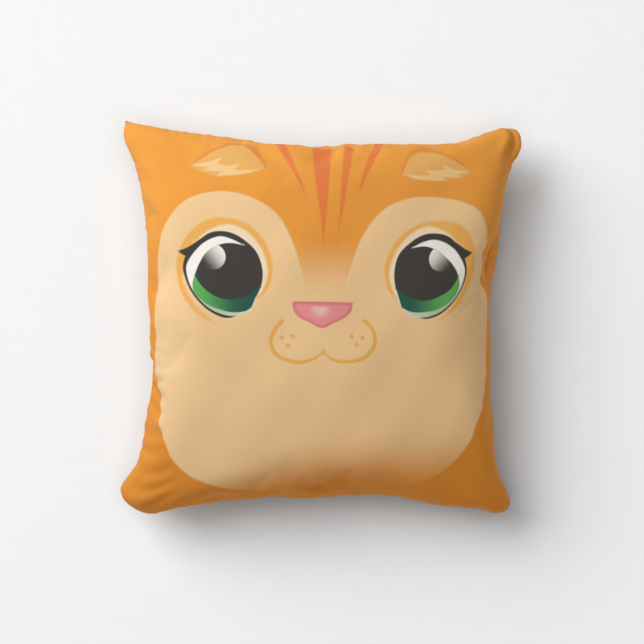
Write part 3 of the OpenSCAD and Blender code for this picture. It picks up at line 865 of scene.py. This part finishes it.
def brushed_nickel():
    """Nickel plate brushed along the zip: long fine scratches, and duller handled spots."""
    made, tree, shader = new_material("zip_metal", 0.3, metal=1.0)
    place = object_place(tree)
    brush = put(tree, "TexNoise", {"Vector": put(tree, "Mapping", {
        "Vector": place, "Scale": (300, 9000, 9000)}), "Scale": 1.0, "Detail": 3.0}, out=0)
    spots = put(tree, "TexNoise", {"Vector": place, "Scale": 260.0, "Detail": 2.0}, out=0)
    tree.links.new(over(tree, spots, tone(178, 176, 170), tone(214, 212, 206)),
                   shader.inputs["Base Color"])
    rough = maths(tree, "ADD", ramp_between(tree, brush, 0.2, 0.8, 0.2, 0.36),
                  ramp_between(tree, spots, 0.5, 0.8, 0.0, 0.12))
    tree.links.new(rough, shader.inputs["Roughness"])
    bumped(tree, shader, brush, 0.15, 0.02)
    return made


def loose_fibre():
    """Hollow polyester fibre: a matted white surface of tangled strands."""
    made, tree, shader = new_material("fibre", 0.9, sheen=0.4)
    strands = put(tree, "TexNoise", {"Vector": object_place(tree), "Scale": 160.0,
                                     "Detail": 6.0, "Distortion": 2.2}, out=0)
    # Painted shade: the white is greyer in the hollows between the strands
    tree.links.new(over(tree, strands, tone(220, 220, 216), tone(250, 250, 248)),
                   shader.inputs["Base Color"])
    bumped(tree, shader, strands, 0.8, 2.0)
    return made


def pale_floor():
    made, tree, shader = new_material("pale_floor", 0.9)
    speck = put(tree, "TexNoise", {"Vector": object_place(tree), "Scale": 60.0,
                                   "Detail": 2.0}, out=0)
    tree.links.new(over(tree, speck, tone(149, 149, 149), tone(151, 151, 151)),
                   shader.inputs["Base Color"])
    return made


# ---- camera, lights and floor ------------------------------------------------------------

VIEW_WIDTH = 0.6408   # width of what the camera sees at the height of the seam
camera = bpy.data.objects.new("camera", bpy.data.cameras.new("camera"))
camera.data.sensor_width = 36
camera.data.lens = 36 * 2.4 / VIEW_WIDTH
camera.location = (0.001, -0.005, 2.4 + SEAM_Z * MM)
bpy.context.scene.collection.objects.link(camera)
bpy.context.scene.camera = camera
bpy.context.scene.view_settings.view_transform = "Standard"


def softbox(name, place, aim, size, watts, tint, pieces):
    """A square area light that faces a point, and lights only the pieces given."""
    lamp = bpy.data.lights.new(name, "AREA")
    lamp.shape = "SQUARE"
    lamp.size = size
    lamp.energy = watts
    lamp.color = tint
    made = bpy.data.objects.new(name, lamp)
    bpy.context.scene.collection.objects.link(made)
    made.location = place
    made.rotation_euler = (made.location - Vector(aim)).to_track_quat("Z", "Y").to_euler()
    group = bpy.data.collections.new(name + "_lights")
    for piece in pieces:
        group.objects.link(piece)
    made.light_linking.receiver_collection = group


def floor_plane():
    """A square floor just under the cushion."""
    half, under = 3.0, -0.0002
    mesh = bpy.data.meshes.new("floor")
    mesh.from_pydata([(-half, -half, under), (half, -half, under), (half, half, under),
                      (-half, half, under)], [], [(0, 1, 2, 3)])
    made = bpy.data.objects.new("floor", mesh)
    bpy.context.scene.collection.objects.link(made)
    made.data.materials.append(pale_floor())
    return made


def wear(piece, material):
    """Gives a piece its material, in place of any it had."""
    piece.data.materials.clear()
    piece.data.materials.append(material)
    return piece


# ---- the cover --------------------------------------------------------------------------

sim_front, sim_back = (calmed(panel) for panel in blown_up(SIM_CELLS))
form_front, form_back = shaped(sim_front), shaped(sim_back)
front_grid = with_mouth(dressed(finer(form_front, FINE), 1, FRONT_FOLDS), 1)
back_grid = with_mouth(dressed(finer(form_back, 2), -1, BACK_FOLDS), -1)

front = cloth_shell("front_panel_cloth", front_grid, 1, CLOTH_T, 10, 20, "cushion",
                    print_layers(front_grid.shape[0]))
back = cloth_shell("back_panel_cloth", back_grid, -1, CLOTH_T, 10, 20, "cushion", {})
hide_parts("front_panel")
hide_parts("back_panel")
wear(front, printed_cloth())
wear(back, plain_cloth())

seam = finer(form_front, 2)
seam = seam.reshape(-1, 3)[rim_of(np.arange(seam[..., 0].size).reshape(seam.shape[:2]))]
per_side = len(seam) // 4
closed_sides = seam[per_side + 2:-2]
seam_thread = thread("seam_thread", tone(206, 118, 40), tone(236, 152, 70))


def inset(path, width):
    """The path moved towards the middle of the cushion, level."""
    return rim_inward(path, width, width)


def pointing_in(path):
    """Level unit vectors from each point of a path to the middle."""
    flat = -path * [1, 1, 0]
    return flat / np.linalg.norm(flat, axis=1, keepdims=True)


edging = inset(closed_sides, 10.0)
overlock = band_along("overlock_thread", edging, pointing_in(edging), 1.4, 0.95, "cushion")
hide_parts("overlock_edging")
wear(overlock, seam_thread)
sewing = stitch_row("seam_thread_stitches", inset(closed_sides, 3.5), 3.2, CLOTH_T + 0.15,
                    0.22, "cushion")
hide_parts("seam_stitches")
wear(sewing, seam_thread)

bottom_seam = seam[:per_side]
ends = [bottom_seam[bottom_seam[:, 0] < -154][1:], bottom_seam[bottom_seam[:, 0] > 154][:-1]]
shut = [stitch_row("closed_end_thread_" + which, inset(path, 3.5), 2.6, CLOTH_T + 0.15,
                   0.22, "cushion") for which, path in zip(("left", "right"), ends)]
for piece in shut:
    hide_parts("closed_end_stitches")
    wear(piece, seam_thread)

# ---- the insert ---------------------------------------------------------------------------

CASE_SHARES = (0.915, 0.875)
case_front = dressed(inner_shape(form_front, *CASE_SHARES, 0.95), 1, FRONT_FOLDS[5:10])
case_back = dressed(inner_shape(form_back, *CASE_SHARES, 0.93), -1, BACK_FOLDS[:4], 1.3)
white_cotton = casing_cloth()
for name, grid, side, node_name in (("insert_casing_front", case_front, 1, "insert_front"),
                                    ("insert_casing_back", case_back, -1, "insert_back")):
    casing = cloth_shell(name, grid, side, 0.5, 5, 5, "cushion", {})
    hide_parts(node_name)
    wear(casing, white_cotton)

case_seam = case_front.reshape(-1, 3)[
    rim_of(np.arange(case_front[..., 0].size).reshape(case_front.shape[:2]))]
filled_through = (np.abs(case_seam[:, 0]) < 58) & (case_seam[:, 1] < -100)
start = int(np.argmax(filled_through)) + int(filled_through.sum())
sewn_round = inset(np.roll(case_seam, -start, 0)[:-int(filled_through.sum())], 3.0)
white_thread = thread("insert_thread", tone(216, 214, 208), tone(250, 249, 245))
case_sewing = stitch_row("insert_seam_thread", sewn_round, 3.0, 0.62, 0.2, "cushion")
case_closing = stitch_row("insert_closing_thread", inset(case_seam[filled_through], 1.2), 5.0,
                          0.62, 0.25, "cushion")
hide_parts("insert_seam_stitches")
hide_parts("insert_closing_stitches")
for piece in (case_sewing, case_closing):
    wear(piece, white_thread)

fill = closed_pad("stuffing_fibre",
                  dressed(inner_shape(form_front, 0.88, 0.84, 0.92), 1, []),
                  dressed(inner_shape(form_back, 0.88, 0.84, 0.9), -1, [], 2.6), "cushion")
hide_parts("fibre_fill")
wear(fill, loose_fibre())

# ---- the zip keeps its CAD shapes -------------------------------------------------------------

tape, teeth_plastic, nickel = tape_weave(), moulded_teeth(), brushed_nickel()
for node_name, material in (
        ("zip_tape_front", tape), ("zip_tape_back", tape),
        ("zip_teeth_front", teeth_plastic), ("zip_teeth_back", teeth_plastic),
        ("zip_top_stops", nickel), ("zip_bottom_stop", nickel), ("zip_slider", nickel),
        ("zip_pull", nickel), ("zip_stitches_front", seam_thread),
        ("zip_stitches_back", seam_thread), ("zip_end_tacks", seam_thread)):
    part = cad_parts[node_name]
    part.data.materials.clear()
    part.data.materials.append(material)

# ---- floor, lights and the end ------------------------------------------------------------------

ground = floor_plane()
cushion_pieces = [o for o in bpy.data.objects if o.type == "MESH" and o is not ground]
world = bpy.data.worlds.new("studio")
world.use_nodes = True
world.node_tree.nodes["Background"].inputs["Color"].default_value = (1, 1, 1, 1)
world.node_tree.nodes["Background"].inputs["Strength"].default_value = 0.3
bpy.context.scene.world = world
# The key and fill light the cushion, and the other two only the floor, so that the
# floor stays white while the cushion is shaded from its upper left.
for lamp in (("key_softbox", (-0.72, 0.68, 0.85), (0, 0, 0.08), 0.5, 10.4, (0.92, 0.95, 0.95),
              cushion_pieces),
             ("fill_softbox", (0, 0, 2.4), (0, 0, 0), 1.6, 9.2, (1, 0.68, 0.15),
              cushion_pieces),
             ("floor_key", (-5.0, 3.9, 5.3), (0, 0, 0), 6.4, 2160, (1, 1, 1), [ground]),
             ("floor_fill", (0, 0, 4.0), (0, 0, 0), 3.2, 160, (1, 1, 1), [ground])):
    softbox(*lamp)
